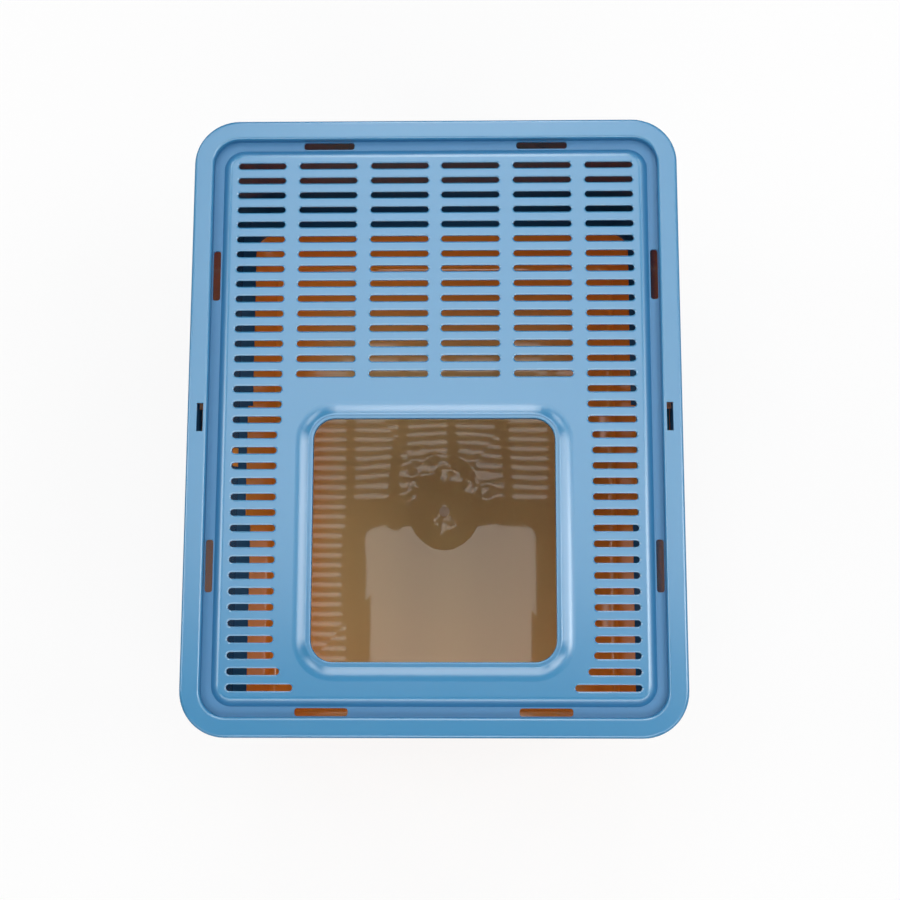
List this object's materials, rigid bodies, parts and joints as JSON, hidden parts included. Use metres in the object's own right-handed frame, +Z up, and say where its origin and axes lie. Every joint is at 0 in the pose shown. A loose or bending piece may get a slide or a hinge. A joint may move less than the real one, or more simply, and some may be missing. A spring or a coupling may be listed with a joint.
{
  "type": "top entry litter box",
  "caption": "Top-entry litter box: slotted lift-off lid with a square hatch and drain trough, a hood with a ledge, a base with side clips and a pull-out drawer.",
  "frame": {"origin": "on the ground under the middle of the lid", "axes": "+Z up, +X to the right, +Y to the back; the drawer opens towards -Y"},
  "size_m": [0.4266, 0.522, 0.3808],
  "materials": {
    "lid_plastic": "light blue, soft sheen",
    "hood_plastic": "navy blue, glossy",
    "drawer_plastic": "orange, glossy",
    "clip_plastic": "orange, glossy",
    "pin_steel": "satin",
    "foot_rubber": "dark, matte"
  },
  "bodies": {
    "housing": {"base": "hood_plastic", "hood": "hood_plastic", "left_clip_pin": "pin_steel", "right_clip_pin": "pin_steel", "foot_front_left": "foot_rubber", "foot_front_right": "foot_rubber", "foot_back_left": "foot_rubber", "foot_back_right": "foot_rubber"},
    "lid": {"lid": "lid_plastic"},
    "drawer": {"drawer": "drawer_plastic"},
    "left_clip": {"left_clip": "clip_plastic"},
    "right_clip": {"right_clip": "clip_plastic"}
  },
  "joints": [
    {"name": "drawer_slide", "type": "slide", "parent": "housing", "child": "drawer", "axis": [0, -1, 0], "range_m": [0, 0.34]},
    {"name": "lid_lift", "type": "slide", "parent": "housing", "child": "lid", "axis": [0, 0, 1], "range_m": [0, 0.06]},
    {"name": "left_clip_turn", "type": "hinge", "parent": "housing", "child": "left_clip", "pos_m": [-0.2088, 0, 0.105], "axis": [0, -1, 0], "range_deg": [0, 110]},
    {"name": "right_clip_turn", "type": "hinge", "parent": "housing", "child": "right_clip", "pos_m": [0.2088, 0, 0.105], "axis": [0, 1, 0], "range_deg": [0, 110]}
  ]
}
